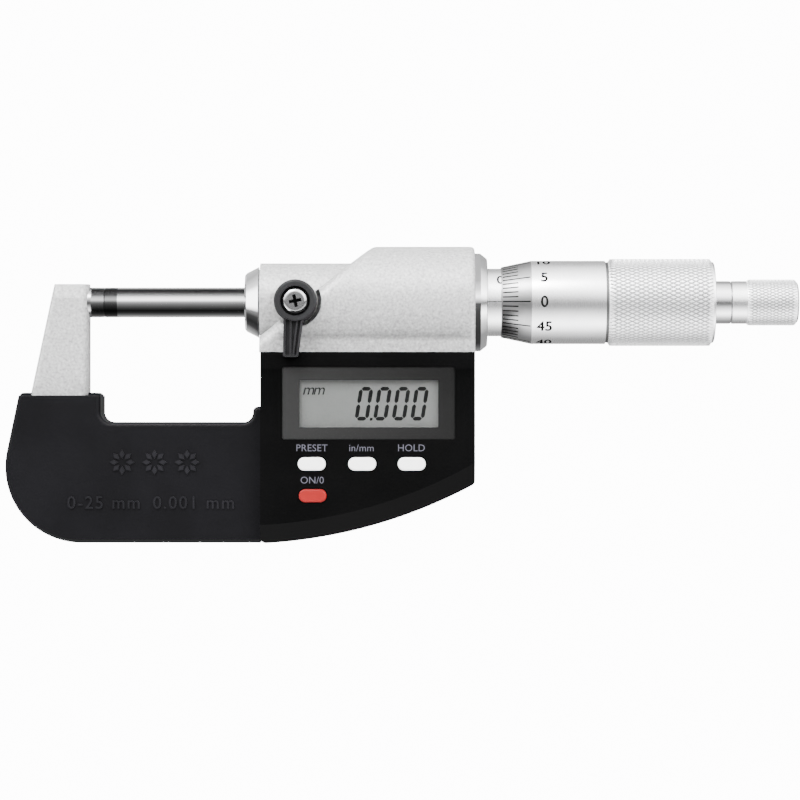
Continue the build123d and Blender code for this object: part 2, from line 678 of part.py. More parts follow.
with BuildPart() as shell_screws:
    for at in SHELL_SCREWS:
        post(at, SHELL_SCREW_R, 5.3, -5.8)
        post(at, SHELL_HEAD_R, 6.7, 5.3)
        block((at[0] - 1.5, at[0] + 1.5), (at[1] - 0.25, at[1] + 0.25), 6.7, 6.0, mode=Mode.SUBTRACT)
        block((at[0] - 0.25, at[0] + 0.25), (at[1] - 1.5, at[1] + 1.5), 6.7, 6.0, mode=Mode.SUBTRACT)
shell_screws.part.label = "shell_screws"
export_step(shell_screws.part, "parts/shell_screws.step")


# ---- Electronics housing ------------------------------------------------------------------------

with BuildPart() as housing_front:
    extrude(case_profile.sketch, amount=-CASE_FRONT)
    # broad bevel along the swept bottom edge
    with BuildSketch(Plane(origin=SWEEP_CENTRE, x_dir=(0, 0, -1), z_dir=(1, 0, 0))) as bevel:
        with BuildLine():
            Polyline(
                (CASE_SWEEP_R - CASE_BEVEL, CASE_FRONT),
                (CASE_SWEEP_R + CASE_BEVEL, CASE_FRONT + 2 * BEVEL_DEPTH),
                (CASE_SWEEP_R + CASE_BEVEL, CASE_FRONT),
                close=True,
            )
        make_face()
    revolve(bevel.sketch, axis=Axis(SWEEP_CENTRE, (0, 1, 0)), mode=Mode.SUBTRACT)
    extrude(case_inner_profile.sketch, amount=-CASE_FRONT - CASE_WALL, mode=Mode.SUBTRACT)
    # window seat, and the opening under it for the display
    block(
        WINDOW[:2], WINDOW[2:], CASE_FRONT + WINDOW_THICK + 0.1, CASE_FRONT,
        mode=Mode.SUBTRACT, corner=0.7,
    )
    block(LCD[:2], LCD[2:], CASE_FRONT + CASE_WALL, CASE_FRONT, mode=Mode.SUBTRACT)
    for at in BUTTONS.values():
        slot(
            at, BUTTON_LENGTH + 2 * BUTTON_FIT, BUTTON_WIDTH + 2 * BUTTON_FIT, -9, CASE_FRONT,
            mode=Mode.SUBTRACT,
        )
    for at in CASE_SCREWS:
        post(at, 1.9, -WEB_HALF, CASE_FRONT + CASE_WALL)
        post(at, 0.8, -WEB_HALF, CASE_FRONT + CASE_WALL + 1, mode=Mode.SUBTRACT)
    # passages for the bow, the web's neck and the sensor lead
    block((CASE_LEFT - 1, BOW_END), (BOW_BOTTOM, BOW_FLOOR), 0, -ARM_HALF, mode=Mode.SUBTRACT)
    block(
        (BOW_END, HUB_END - CASE_WALL), (PLATE_BOTTOM - 3, PLATE_BOTTOM + 1), 0, -WEB_HALF,
        mode=Mode.SUBTRACT,
    )
    block((59.4, 60.6), (PLATE_BOTTOM - 3, PLATE_BOTTOM + 1), -WEB_HALF, -6.7, mode=Mode.SUBTRACT)
housing_front.part.label = "housing_front"
export_step(housing_front.part, "parts/housing_front.step")

with BuildPart() as housing_rear:
    extrude(case_profile.sketch, amount=-CASE_BACK)
    fillet(housing_rear.edges().group_by(Axis.Y)[-1], 1.0)
    extrude(case_inner_profile.sketch, amount=-CASE_BACK + CASE_WALL, mode=Mode.SUBTRACT)
    for at in CASE_SCREWS:
        post(at, 2.2, CASE_BACK - CASE_WALL, WEB_HALF)
        post(at, 0.8, CASE_BACK, WEB_HALF, mode=Mode.SUBTRACT)
        post(at, 1.8, CASE_BACK, CASE_BACK - 1.8, mode=Mode.SUBTRACT)
    # well for the cell, with a seat for its cap and room for the cap's two lugs
    post(CELL_AT, 9.8, CASE_BACK - CASE_WALL, CASE_BACK - 3)
    post(CELL_AT, 7.4, CASE_BACK - 3, WEB_HALF)
    post(CELL_AT, CELL_R + 0.2, CASE_BACK, WEB_HALF, mode=Mode.SUBTRACT)
    post(CELL_AT, CAP_R + 0.08, CASE_BACK, 9.1, mode=Mode.SUBTRACT)
    post(CELL_AT, 8.9, 10.65, 9.85, mode=Mode.SUBTRACT)
    block(
        (CELL_AT[0] - 2.4, CELL_AT[0] + 2.4), (CELL_AT[1] - 8.9, CELL_AT[1] + 8.9), CASE_BACK, 9.85,
        mode=Mode.SUBTRACT,
    )
    block((61.6, 66.0), (-31.8, -28.2), 9.1, WEB_HALF, mode=Mode.SUBTRACT)
    block((CASE_LEFT - 1, BOW_END), (BOW_BOTTOM, BOW_FLOOR), ARM_HALF, 0, mode=Mode.SUBTRACT)
    block(
        (BOW_END, HUB_END - CASE_WALL), (PLATE_BOTTOM - 3, PLATE_BOTTOM + 1), WEB_HALF, 0,
        mode=Mode.SUBTRACT,
    )
housing_rear.part.label = "housing_rear"
export_step(housing_rear.part, "parts/housing_rear.step")

with BuildPart() as housing_screws:
    for at in CASE_SCREWS:
        post(at, 0.8, CASE_BACK - 1.8, CASE_FRONT + CASE_WALL + 1)
        post(at, 1.7, CASE_BACK - 0.4, CASE_BACK - 1.8)
        for across, up in ((1.2, 0.22), (0.22, 1.2)):
            block(
                (at[0] - across, at[0] + across), (at[1] - up, at[1] + up),
                CASE_BACK, CASE_BACK - 1.1, mode=Mode.SUBTRACT,
            )
housing_screws.part.label = "housing_screws"
export_step(housing_screws.part, "parts/housing_screws.step")


# ---- Display, board and buttons ---------------------------------------------------------------------

with BuildPart() as display_window:
    block(WINDOW[:2], WINDOW[2:], CASE_FRONT + WINDOW_THICK + 0.1, CASE_FRONT + 0.1, corner=0.7)
display_window.part.label = "display_window"
export_step(display_window.part, "parts/display_window.step")

with BuildPart() as lcd_panel:
    block((LCD[0] + 0.1, LCD[1] - 0.1), (LCD[2] + 0.1, LCD[3] - 0.1), LCD_BACK, LCD_FRONT)
lcd_panel.part.label = "lcd_panel"
export_step(lcd_panel.part, "parts/lcd_panel.step")

with BuildPart() as zebra_strips:
    for z in (LCD[2] + 1.4, LCD[3] - 1.4):
        block((LCD[0] + 1.5, LCD[1] - 1.5), (z - 0.6, z + 0.6), BOARD_FRONT, LCD_BACK)
zebra_strips.part.label = "zebra_strips"
export_step(zebra_strips.part, "parts/zebra_strips.step")

with BuildPart() as main_board:
    with BuildSketch(front_plane(BOARD_BACK)) as board_outline:
        with BuildLine():
            Polyline(
                (39.7, -13.2), (74.6, -13.2), (74.6, -36.5), (62.0, -44.2), (40.6, -44.2),
                (39.7, -43.3), close=True,
            )
        make_face()
    extrude(board_outline.sketch, amount=BOARD_BACK - BOARD_FRONT)
main_board.part.label = "main_board"
export_step(main_board.part, "parts/main_board.step")

with BuildPart() as display_chip:
    block((46.0, 54.0), (-25.0, -17.0), -5.0, BOARD_BACK)
    chamfer(display_chip.edges().group_by(Axis.Y)[-1], 0.3)
display_chip.part.label = "display_chip"
export_step(display_chip.part, "parts/display_chip.step")

with BuildPart() as button_domes:
    for at in BUTTONS.values():
        post(at, 1.9, BOARD_FRONT, BOARD_FRONT - 0.4)
        chamfer(button_domes.edges().group_by(Axis.Y)[0], 0.25)
button_domes.part.label = "button_domes"
export_step(button_domes.part, "parts/button_domes.step")

for name, at in BUTTONS.items():
    with BuildPart() as button:
        slot(at, BUTTON_LENGTH, BUTTON_WIDTH, CASE_FRONT + CASE_WALL + 0.1, CASE_FRONT - BUTTON_PROUD)
        fillet(button.edges().group_by(Axis.Y)[0], 0.35)
        slot(at, BUTTON_LENGTH + 1.4, BUTTON_WIDTH + 1.2, -9.4, CASE_FRONT + CASE_WALL + 0.1)
        post(at, 0.9, BOARD_FRONT - 0.95, -9.4)
    button.part.label = name
    export_step(button.part, f"parts/{name}.step")


# ---- Cell, contacts and cap ---------------------------------------------------------------------------

with BuildPart() as cell:
    post(CELL_AT, CELL_R, CELL_BACK, CELL_FRONT + 0.4)
    fillet(cell.edges().group_by(Axis.Y)[-1], 0.4)
    post(CELL_AT, CELL_R - 1.0, CELL_FRONT + 0.4, CELL_FRONT)
cell.part.label = "button_cell"
export_step(cell.part, "parts/button_cell.step")

with BuildPart() as contact_negative:
    post(CELL_AT, 3.0, CELL_FRONT, WEB_HALF)
    block((56.9, 57.1), (-31.0, -29.0), WEB_HALF, BOARD_BACK)
contact_negative.part.label = "contact_negative"
export_step(contact_negative.part, "parts/contact_negative.step")

with BuildPart() as contact_positive:
    block((CELL_AT[0] + CELL_R, CELL_AT[0] + CELL_R + 0.2), (-31.5, -28.5), 9.0, BOARD_BACK)
contact_positive.part.label = "contact_positive"
export_step(contact_positive.part, "parts/contact_positive.step")

with BuildPart() as cell_cap:
    post(CELL_AT, CAP_R, CAP_BACK, CAP_FRONT)
    fillet(cell_cap.edges().group_by(Axis.Y)[-1], 0.3)
    # two lugs hold the cap under the rim of the housing
    block((CELL_AT[0] - 8.6, CELL_AT[0] + 8.6), (CELL_AT[1] - 1.8, CELL_AT[1] + 1.8), 10.5, CAP_FRONT)
    # coin slot
    slot(CELL_AT, 12.0, 1.7, CAP_BACK, CAP_BACK - 0.9, mode=Mode.SUBTRACT)
cell_cap.part.label = "cell_cap"
export_step(cell_cap.part, "parts/cell_cap.step")

with BuildPart() as cap_seal:
    with BuildSketch(Plane.XY.offset(CELL_AT[1])) as seal_section:
        with Locations((CELL_AT[0] + 7.1, CAP_FRONT - 0.45)):
            Circle(0.45)
    revolve(seal_section.sketch, axis=Axis((CELL_AT[0], 0, CELL_AT[1]), (0, 1, 0)))
cap_seal.part.label = "cap_seal"
export_step(cap_seal.part, "parts/cap_seal.step")
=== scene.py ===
import json
import math

import bmesh
import bpy
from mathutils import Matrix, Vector


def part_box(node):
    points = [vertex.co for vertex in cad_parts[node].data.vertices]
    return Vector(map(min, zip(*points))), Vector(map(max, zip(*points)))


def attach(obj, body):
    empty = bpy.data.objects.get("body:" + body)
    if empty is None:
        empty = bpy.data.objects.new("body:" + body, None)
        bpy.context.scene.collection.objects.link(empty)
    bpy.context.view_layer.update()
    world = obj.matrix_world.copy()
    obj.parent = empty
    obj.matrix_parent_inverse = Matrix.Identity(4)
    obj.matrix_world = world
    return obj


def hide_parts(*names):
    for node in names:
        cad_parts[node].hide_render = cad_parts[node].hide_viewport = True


# Looks of the digital outside micrometer. Lengths are in metres, in the CAD's frame: the
# spindle axis is X, +Z is up and the display looks towards -Y.

MM = 0.001
TAU = 2 * math.pi

# driving dimensions of the drawn pieces, in millimetres as in the CAD
BUSH_START = 30.4
SLEEVE_START = 83.05
SLEEVE_END = 111.4
SLEEVE_R = 7.35
THIMBLE_START = 86.0
THIMBLE_EDGE = 7.65
BEVEL_END = 92.5
THIMBLE_R = 9.05
COLLAR_START = 108.6
COLLAR_R = 8.75
THIMBLE_END = 132.2
RIM_R = 8.8
KNOB_START = 136.0
KNOB_END = 150.5
TRAVEL = 25

# brightness of what the polished metal reflects, by elevation about the X axis in degrees:
# 0 is behind the lens, 90 straight up and 180 the far side
SKY_TOP = 10.0
SKY = [
    (-180, 0.6), (-120, 0.5), (-92, 2.0), (-62, 8.0), (-32, 2.6), (-14, 0.42), (0, 0.28),
    (10, 1.2), (26, 4.0), (55, 9.0), (90, 4.2), (125, 0.9), (180, 0.55),
]
SPINDLE_SHADING = [
    (-150, 3.0), (-108, 0.96), (-74, 0.19), (-56, 0.037), (-42, 0.008), (-30, 0.057),
    (-19, 0.15), (-8, 0.33), (1, 0.82), (12, 5.0), (22, 3.3), (33, 0.51), (44, 0.12),
    (54, 0.02), (68, 0.015), (81, 0.23), (105, 2.0), (150, 3.0),
]
BUSH_SHADING = [
    (-120, 2.0), (-94, 0.7), (-65, 0.08), (-48, 0.04), (-33, 0.087), (-21, 0.455), (-10, 8.0),
    (0, 9.0), (11, 9.0), (23, 8.0), (35, 2.5), (49, 1.6), (67, 0.95), (100, 1.2), (120, 2.0),
]
FLANGE_SHADING = [
    (-140, 0.8), (-120, 0.6), (-95, 0.45), (-75, 0.2), (-62, 0.06), (-40, 0.06), (-26, 0.08),
    (-12, 0.1), (-3, 0.16), (2, 2.0), (6, 5.0), (15, 2.0), (26, 0.86), (40, 0.86), (59, 0.9),
    (89, 0.76), (120, 0.8),
]

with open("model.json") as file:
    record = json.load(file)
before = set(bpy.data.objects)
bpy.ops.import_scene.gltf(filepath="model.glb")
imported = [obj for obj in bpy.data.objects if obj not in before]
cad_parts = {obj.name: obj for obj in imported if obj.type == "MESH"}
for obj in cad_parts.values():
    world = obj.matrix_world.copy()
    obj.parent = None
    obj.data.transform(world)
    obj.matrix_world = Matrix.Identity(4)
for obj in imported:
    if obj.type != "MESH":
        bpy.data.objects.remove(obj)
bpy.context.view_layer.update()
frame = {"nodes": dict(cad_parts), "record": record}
nodes = frame["nodes"]


# ---- Materials ------------------------------------------------------------------------

class Shade:
    """One node material, built up from its Principled shader."""

    def __init__(self, name):
        self.material = bpy.data.materials.new(name)
        self.material.use_nodes = True
        self.tree = self.material.node_tree
        self.shader = self.tree.nodes["Principled BSDF"]
        self.coords = self.node("ShaderNodeTexCoord").outputs["Object"]

    def node(self, kind, **settings):
        made = self.tree.nodes.new(kind)
        for key, value in settings.items():
            setattr(made, key, value)
        return made

    def link(self, output, target):
        self.tree.links.new(output, target)

    def set(self, **values):
        for key, value in values.items():
            self.shader.inputs[key.replace("_", " ")].default_value = value
        return self

    def stretched(self, scale):
        """Object coordinates scaled by a factor on each axis."""
        mapping = self.node("ShaderNodeMapping")
        mapping.inputs["Scale"].default_value = scale
        self.link(self.coords, mapping.inputs["Vector"])
        return mapping.outputs["Vector"]

    def noise(self, size, detail=3.0, stretch=(1, 1, 1)):
        """Fractal noise whose grains are about size metres across."""
        made = self.node("ShaderNodeTexNoise")
        made.inputs["Scale"].default_value = 1 / size
        made.inputs["Detail"].default_value = detail
        self.link(self.stretched(stretch), made.inputs["Vector"])
        return made.outputs["Fac"]

    def ramp(self, value, stops):
        """A colour ramp over value: stops are (position, colour)."""
        made = self.node("ShaderNodeValToRGB")
        elements = made.color_ramp.elements
        while len(elements) < len(stops):
            elements.new(0.5)
        for element, (position, colour) in zip(elements, stops):
            element.position = position
            element.color = (*colour, 1) if len(colour) == 3 else colour
        self.link(value, made.inputs["Fac"])
        return made.outputs["Color"]

    def spread(self, value, low, high):
        """Value stretched to run from low to high."""
        made = self.node("ShaderNodeMapRange")
        made.inputs["To Min"].default_value = low
        made.inputs["To Max"].default_value = high
        self.link(value, made.inputs["Value"])
        return made.outputs["Result"]

    def bump(self, height, depth, strength=1.0):
        """Bump of the given depth in metres."""
        made = self.node("ShaderNodeBump")
        made.inputs["Distance"].default_value = depth
        made.inputs["Strength"].default_value = strength
        self.link(height, made.inputs["Height"])
        self.link(made.outputs["Normal"], self.shader.inputs["Normal"])

    def colour(self, value, stops):
        self.link(self.ramp(value, stops), self.shader.inputs["Base Color"])
        return self

    def rough(self, value, low, high):
        self.link(self.spread(value, low, high), self.shader.inputs["Roughness"])
        return self


def grey(level, tint=(1, 1, 1)):
    return tuple(level * t for t in tint)


def hammer_paint():
    """Pale grey enamel with fine light and dark specks."""
    made = Shade("hammer_paint")
    made.set(Metallic=0.25, Specular_IOR_Level=0.45)
    speckle = made.noise(0.00055, 4.0)
    made.colour(
        speckle, [(0.30, grey(0.25)), (0.47, grey(0.355)), (0.60, grey(0.42)), (0.72, grey(0.53))]
    )
    made.rough(speckle, 0.36, 0.52)
    made.bump(speckle, 0.00006, 0.55)
    return made.material


def black_plastic(name, level, rough, shine, tint=(1.0, 1.0, 1.06)):
    """Near-black moulded plastic with a fine grain."""
    made = Shade(name)
    made.set(Specular_IOR_Level=shine)
    grain = made.noise(0.00025, 2.0)
    cloud = made.noise(0.012, 3.0)
    made.colour(cloud, [(0.35, grey(level * 0.85, tint)), (0.65, grey(level * 1.2, tint))])
    made.rough(cloud, rough - 0.05, rough + 0.06)
    made.bump(grain, 0.00002, 0.35)
    return made.material


def turned_metal(name, level, rough, lines=0.00006):
    """Metal finished on a lathe: fine rings about the X axis."""
    tint = (1, 1, 1.01)
    made = Shade(name)
    made.set(Metallic=1.0)
    rings = made.noise(lines, 2.0, stretch=(1, 0.02, 0.02))
    patch = made.noise(0.004, 2.0)
    made.colour(patch, [(0.3, grey(level * 0.94, tint)), (0.7, grey(level, tint))])
    made.rough(rings, rough * 0.8, rough * 1.25)
    made.bump(rings, 0.000004, 0.4)
    return made.material


def plain_metal(name, colour, rough):
    made = Shade(name)
    made.set(Metallic=1.0)
    patch = made.noise(0.0015, 3.0)
    low = tuple(0.85 * c for c in colour)
    made.colour(patch, [(0.3, low), (0.7, colour)])
    made.rough(patch, rough * 0.8, rough * 1.3)
    return made.material


def solid_plastic(name, colour, rough, shine=0.25):
    made = Shade(name)
    made.set(Specular_IOR_Level=shine)
    patch = made.noise(0.002, 3.0)
    low = tuple(0.95 * c for c in colour)
    made.colour(patch, [(0.3, low), (0.7, colour)])
    made.rough(patch, rough - 0.04, rough + 0.06)
    made.bump(made.noise(0.0002, 2.0), 0.00001, 0.3)
    return made.material


def clear_window():
    made = Shade("window")
    made.set(Roughness=0.08, IOR=1.45, Specular_IOR_Level=0.16, Alpha=0.1)
    haze = made.noise(0.01, 2.0)
    made.colour(haze, [(0.3, grey(0.02)), (0.7, grey(0.03))])
    return made.material


def window_mask():
    """The grey print under the window, with painted light: lighter towards its left, darker towards its
    right.
    """
    made = Shade("window_mask")
    made.set(Specular_IOR_Level=0.12)
    low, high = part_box("display_window")
    span = made.node("ShaderNodeSeparateXYZ")
    made.link(made.coords, span.inputs["Vector"])
    across = made.node("ShaderNodeMapRange")
    across.inputs["From Min"].default_value = high.x
    across.inputs["From Max"].default_value = low.x
    made.link(span.outputs["X"], across.inputs["Value"])
    # painted light: the print's grey runs from dark at the right to lighter at the left
    made.colour(across.outputs["Result"], [(0.0, grey(0.0045)), (1.0, grey(0.016))])
    made.rough(made.noise(0.003), 0.4, 0.5)
    return made.material


def lcd_glass():
    made = Shade("lcd")
    made.set(Specular_IOR_Level=0.3)
    grain = made.noise(0.0003, 3.0)
    made.colour(grain, [(0.3, (0.113, 0.118, 0.114)), (0.7, (0.132, 0.137, 0.133))])
    made.rough(grain, 0.35, 0.45)
    return made.material


PAINT = hammer_paint()
SHELL = black_plastic("black_shell", 0.0016, 0.50, 0.085, (1.0, 0.97, 1.35))
CASE = black_plastic("black_case", 0.0007, 0.42, 0.045)
# painted highlight: the raised words and motif are a lighter black than the shell, standing in for light
# on their edges
RAISED_HIGHLIGHT = black_plastic("black_raised_painted_highlight", 0.0042, 0.46, 0.16, (1.0, 0.97, 1.3))
LEVER = black_plastic("black_lever", 0.0130, 0.40, 0.12)
SATIN = turned_metal("satin_chrome", 0.80, 0.27)
BRIGHT = turned_metal("bright_chrome", 0.78, 0.12, lines=0.0001)
KNURL = turned_metal("knurled_chrome", 0.90, 0.48)
# painted shade: a darker metal on the knurl's sloping flanks, standing in for shade in the valleys
FLANK_SHADE = turned_metal("knurl_flank_painted_shade", 0.50, 0.40)
# painted shade: a dark metal for the bare collar beside the grip, standing in for shadow in the groove
GROOVE_SHADE = turned_metal("grip_groove_painted_shade", 0.10, 0.50)
BEVEL = turned_metal("ground_bevel", 0.31, 0.30)
SHAFT = turned_metal("shaft_chrome", 0.66, 0.17)
SCREW = turned_metal("screw_head", 0.42, 0.2)
CARBIDE = turned_metal("carbide", 0.16, 0.22)
ANVIL = turned_metal("anvil_metal", 0.30, 0.2)
STEEL = plain_metal("steel", (0.55, 0.55, 0.56), 0.3)
BRASS = plain_metal("brass", (0.72, 0.55, 0.25), 0.3)
BOARD = solid_plastic("board", (0.02, 0.16, 0.06), 0.4)
LEAD = solid_plastic("sensor_lead", (0.5, 0.25, 0.05), 0.4)
CHIP = solid_plastic("chip", (0.02, 0.02, 0.02), 0.5)
RUBBER = solid_plastic("rubber", (0.02, 0.02, 0.02), 0.7)
WHITE = solid_plastic("white_key", (0.95, 0.95, 0.94), 0.45)
RED = solid_plastic("red_key", (0.185, 0.0012, 0.0006), 0.55)
WINDOW = clear_window()
WINDOW_PRINT_PAINTED_LIGHT = window_mask()
LCD = lcd_glass()
# print ink for the graduations and numbers, also used as painted shade in the lock screw's cross recess
INK_AND_SHADE = solid_plastic("ink_and_recess_shade", (0.006, 0.006, 0.006), 0.7, 0.0)
LCD_INK = solid_plastic("lcd_ink", (0.003, 0.0033, 0.0033), 0.7, 0.0)
LABEL = solid_plastic("label", (0.056, 0.056, 0.072), 0.5)

FINISHES = {
    "hammer_paint": PAINT, "black_shell": SHELL, "black_case": CASE, "black_lever": LEVER,
    "satin_chrome": SATIN, "bright_chrome": BRIGHT, "steel": STEEL, "carbide": CARBIDE,
    "brass": BRASS, "contacts": BRASS, "boards": BOARD, "sensor_lead": LEAD,
    "display_chip": CHIP, "button_domes": STEEL, "window": WINDOW, "lcd": LCD,
    "zebra": RUBBER, "white_buttons": WHITE, "red_button": RED, "seal": RUBBER,
}

for entry in frame["record"]["subparts"]:
    node = nodes[entry["node"]]
    node.data.materials.clear()
    node.data.materials.append(FINISHES[entry["material_slot"]])
nodes["anvil_tip"].data.materials[0] = ANVIL
nodes["lock_screw"].data.materials[0] = SCREW
nodes["ratchet_shaft"].data.materials[0] = SHAFT


# ---- Mesh helpers ----------------------------------------------------------------------

def new_piece(name, vertices, faces, material, body, smooth=False):
    """A mesh piece that rides on a body."""
    mesh = bpy.data.meshes.new(name)
    mesh.from_pydata([tuple(v) for v in vertices], [], faces)
    mesh.validate()
    mesh.materials.append(material)
    for polygon in mesh.polygons:
        polygon.use_smooth = smooth
    piece = bpy.data.objects.new(name, mesh)
    bpy.context.scene.collection.objects.link(piece)
    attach(piece, body)
    return piece


def around(x, radius, angle):
    """A point at a radius from the spindle axis. Angle 0 faces -Y, and grows upwards."""
    return Vector((x, -radius * math.cos(angle), radius * math.sin(angle)))


def box_faces(start):
    """The six faces of a box whose eight corners were added from index start."""
    quads = [(0, 1, 2, 3), (7, 6, 5, 4), (0, 4, 5, 1), (1, 5, 6, 2), (2, 6, 7, 3), (3, 7, 4, 0)]
    return [tuple(start + i for i in quad) for quad in quads]


def flat_text(words, height, slant=0.0, tight=1.0, bold=0.0):
    """Triangles of some words, centred, as a bmesh in the XY plane. bold widens each stroke."""
    curve = bpy.data.curves.new("words", "FONT")
    curve.body = words
    curve.size = 1.0
    curve.shear = slant
    curve.space_character = tight
    curve.align_x = "CENTER"
    curve.resolution_u = 3
    holder = bpy.data.objects.new("words", curve)
    bpy.context.scene.collection.objects.link(holder)
    bpy.context.view_layer.update()
    depsgraph = bpy.context.evaluated_depsgraph_get()
    mesh = bpy.data.meshes.new_from_object(holder.evaluated_get(depsgraph))
    bpy.data.objects.remove(holder)
    work = bmesh.new()
    work.from_mesh(mesh)
    bpy.data.meshes.remove(mesh)
    xs = [v.co.x for v in work.verts]
    scale = height / CAP_HEIGHT
    middle = Vector(((min(xs) + max(xs)) / 2, CAP_HEIGHT / 2, 0))
    for vertex in work.verts:
        vertex.co = (vertex.co - middle) * scale
    letters = work.verts[:] + work.edges[:] + work.faces[:]
    if bold:
        for shift in ((-bold, 0, 0), (bold, 0, 0), (0, -bold, 0), (0, bold, 0)):
            copy = bmesh.ops.duplicate(work, geom=letters)["geom"]
            points = [part for part in copy if isinstance(part, bmesh.types.BMVert)]
            bmesh.ops.translate(work, verts=points, vec=shift)
    return work


def cap_height():
    """The height of a capital letter in the built-in font at size 1."""
    curve = bpy.data.curves.new("cap", "FONT")
    curve.body = "H"
    holder = bpy.data.objects.new("cap", curve)
    bpy.context.scene.collection.objects.link(holder)
    bpy.context.view_layer.update()
    height = holder.dimensions.y
    bpy.data.objects.remove(holder)
    return height


CAP_HEIGHT = cap_height()


def slice_along(work, axis, step):
    """Cuts a flat bmesh at even steps along an axis, so that it can bend."""
    spots = [v.co[axis] for v in work.verts]
    at = math.floor(min(spots) / step) * step
    normal = Vector((0, 0, 0))
    normal[axis] = 1
    while at < max(spots):
        point = Vector((0, 0, 0))
        point[axis] = at
        geometry = work.verts[:] + work.edges[:] + work.faces[:]
        bmesh.ops.bisect_plane(work, geom=geometry, dist=1e-7, plane_co=point, plane_no=normal)
        at += step


def raised(name, work, place, material, body, lift, sink):
    """Makes a closed raised print from a flat bmesh. place(x, y, height) gives each point."""
    bmesh.ops.remove_doubles(work, verts=work.verts, dist=1e-7)
    top = bmesh.ops.extrude_face_region(work, geom=work.faces[:])
    upper = {v for v in top["geom"] if isinstance(v, bmesh.types.BMVert)}
    for vertex in work.verts:
        vertex.co = place(vertex.co.x, vertex.co.y, lift if vertex in upper else -sink)
    bmesh.ops.recalc_face_normals(work, faces=work.faces)
    mesh = bpy.data.meshes.new(name)
    work.to_mesh(mesh)
    work.free()
    mesh.materials.append(material)
    piece = bpy.data.objects.new(name, mesh)
    bpy.context.scene.collection.objects.link(piece)
    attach(piece, body)
    return piece


def on_front(x_mid, z_mid, y_face):
    """Places a flat print on a face that looks towards -Y."""
    return lambda x, y, h: Vector((x_mid + x, y_face - h, z_mid + y))


def on_cylinder(x_mid, angle_mid, radius):
    """Wraps a flat print on a cylinder about the spindle axis, upright as seen from the front."""
    return lambda x, y, h: around(x_mid + x, radius + h, angle_mid + y / radius)


# ---- Knurled grips ----------------------------------------------------------------------

def knurl(name, x_range, inner, outer, depth, count, pitch, rounding, material, body):
    """A closed ring with a diamond-knurled outside: count diamonds round it, pitch long in x.

    Each diamond is a small pyramid with its top cut off, and top is the share of its width
    that stays flat. Both ends of the ring are rounded by pulling the pattern in.
    """
    x_low, x_high = x_range
    rows = max(2, round((x_high - x_low) / (pitch / 2)))
    half = (x_high - x_low) / rows
    steps = 2 * count
    turn_step = TAU / steps
    top = 0.60

    def radius_at(x, height):
        edge = min(x - x_low, x_high - x)
        drop = 0.0
        if edge < rounding:
            drop = rounding - math.sqrt(max(0.0, rounding**2 - (rounding - edge) ** 2))
        return max(inner + 0.0001, outer - depth + height - drop)

    def vertex(x, angle, height):
        x = min(max(x, x_low), x_high)
        return around(x, radius_at(x, height), angle)

    vertices, faces, flanks = [], [], []
    valley = {}
    for i in range(rows + 1):
        for j in range(steps):
            if (i + j) % 2:
                valley[i, j] = len(vertices)
                vertices.append(vertex(x_low + i * half, j * turn_step, 0.0))
    # valleys at the ends of the rows, where half diamonds stop
    for i in (0, rows):
        for j in range(steps):
            if (i + j) % 2 == 0:
                valley[i, j] = len(vertices)
                vertices.append(vertex(x_low + i * half, j * turn_step, 0.0))
    for i in range(0, rows + 1):
        for j in range(steps):
            if (i + j) % 2:
                continue
            x, angle = x_low + i * half, j * turn_step
            left, right = (i - 1, j), (i + 1, j)
            up, down = (i, (j + 1) % steps), (i, (j - 1) % steps)
            if i == 0 or i == rows:
                # half diamond: a facet from the end edge to the inside corner
                inside = right if i == 0 else left
                here = valley[i, j]
                trio = [(valley[up], here, valley[inside]), (here, valley[down], valley[inside])]
                if i == rows:
                    trio = [face[::-1] for face in trio]
                faces += trio
                continue
            base = [valley[left], valley[down], valley[right], valley[up]]
            start = len(vertices)
            vertices.append(vertex(x - top * half, angle, depth))
            vertices.append(vertex(x, angle - top * turn_step, depth))
            vertices.append(vertex(x + top * half, angle, depth))
            vertices.append(vertex(x, angle + top * turn_step, depth))
            crown = [start, start + 1, start + 2, start + 3]
            faces.append(tuple(crown))
            for k in range(4):
                n = (k + 1) % 4
                flanks.append((base[k], base[n], crown[n], crown[k]))
    # inside wall and the two flat ends
    ends = []
    for i, x in ((0, x_low), (rows, x_high)):
        start = len(vertices)
        vertices += [around(x, inner, j * turn_step) for j in range(steps)]
        ends.append(start)
        for j in range(steps):
            n = (j + 1) % steps
            ring = (valley[i, j], valley[i, n], start + n, start + j)
            faces.append(ring if i == rows else ring[::-1])
    for j in range(steps):
        n = (j + 1) % steps
        faces.append((ends[0] + j, ends[0] + n, ends[1] + n, ends[1] + j))
    piece = new_piece(name, vertices, faces + flanks, material, body)
    # the flanks take the darker flank metal: painted shade between the diamonds
    piece.data.materials.append(FLANK_SHADE)
    for polygon in piece.data.polygons[len(faces):]:
        polygon.material_index = 1
    return piece


# ---- Camera and studio -------------------------------------------------------------------

# The lens looks straight at the display side, a little below the spindle axis.
CENTRE = (0.0641, 0, -0.0212)
CAMERA_DISTANCE = 0.8
camera_data = bpy.data.cameras.new("camera")
camera_data.lens = 165.6
camera_data.sensor_width = 36
camera_data.clip_start = 0.01
camera_data.clip_end = 20
camera = bpy.data.objects.new("camera", camera_data)
camera.location = (CENTRE[0], -CAMERA_DISTANCE, CENTRE[2])
camera.rotation_euler = (math.pi / 2, 0, 0)
bpy.context.scene.collection.objects.link(camera)
bpy.context.scene.camera = camera


